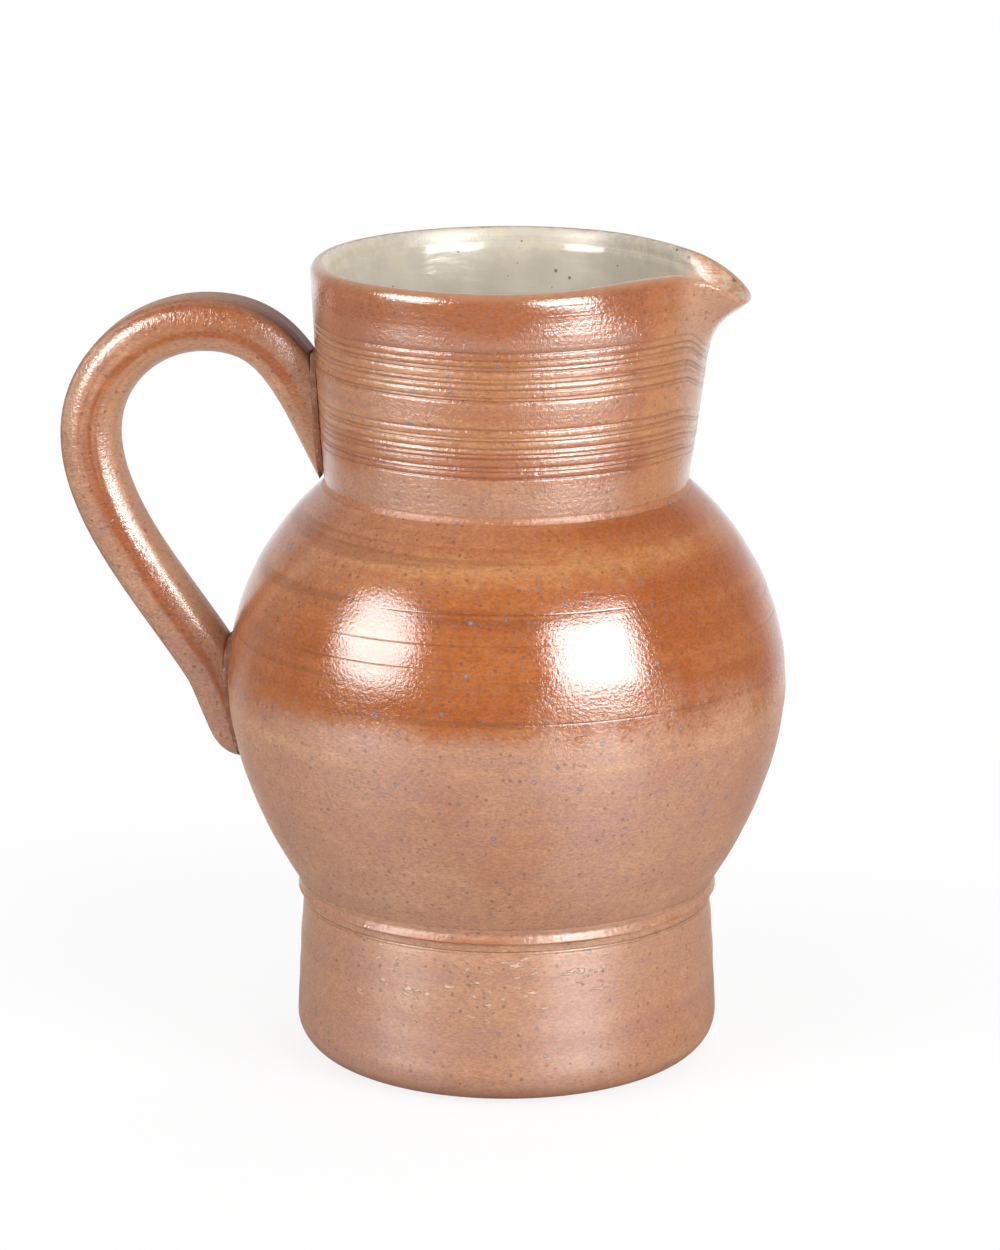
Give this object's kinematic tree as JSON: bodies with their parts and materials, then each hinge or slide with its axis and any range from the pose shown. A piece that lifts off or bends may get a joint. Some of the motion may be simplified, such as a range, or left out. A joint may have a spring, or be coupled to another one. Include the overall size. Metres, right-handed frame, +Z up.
{
  "type": "water pitcher",
  "caption": "Round-bellied salt-glazed stoneware water pitcher on a short foot, with a combed neck, a pulled pouring lip, a pulled strap handle and a grey liner glaze.",
  "frame": {"origin": "centre of the flat base, on the surface that the pitcher stands on", "axes": "+Z up along the pot's axis, +X towards the pouring lip, the handle at -X"},
  "size_m": [0.2159, 0.166, 0.2407],
  "materials": {
    "foot_clay": "thin satin salt glaze over tan stoneware",
    "collar_clay": "thin salt glaze over tan stoneware",
    "belly_clay": "glossy orange-peel salt glaze, satin below the dip line",
    "neck_clay": "glossy orange-peel salt glaze over combed lines",
    "handle_clay": "glossy salt glaze over pulled clay",
    "slip": "rough salt-glazed slip",
    "liner_glaze": "glossy grey liner glaze with dark specks"
  },
  "bodies": {
    "root": {"foot": "foot_clay", "foot_collar": "collar_clay", "belly": "belly_clay", "shoulder_slip": "slip", "neck": "neck_clay", "handle": "handle_clay", "handle_upper_slip": "slip", "handle_lower_slip": "slip", "inner_glaze": "liner_glaze"}
  },
  "joints": []
}
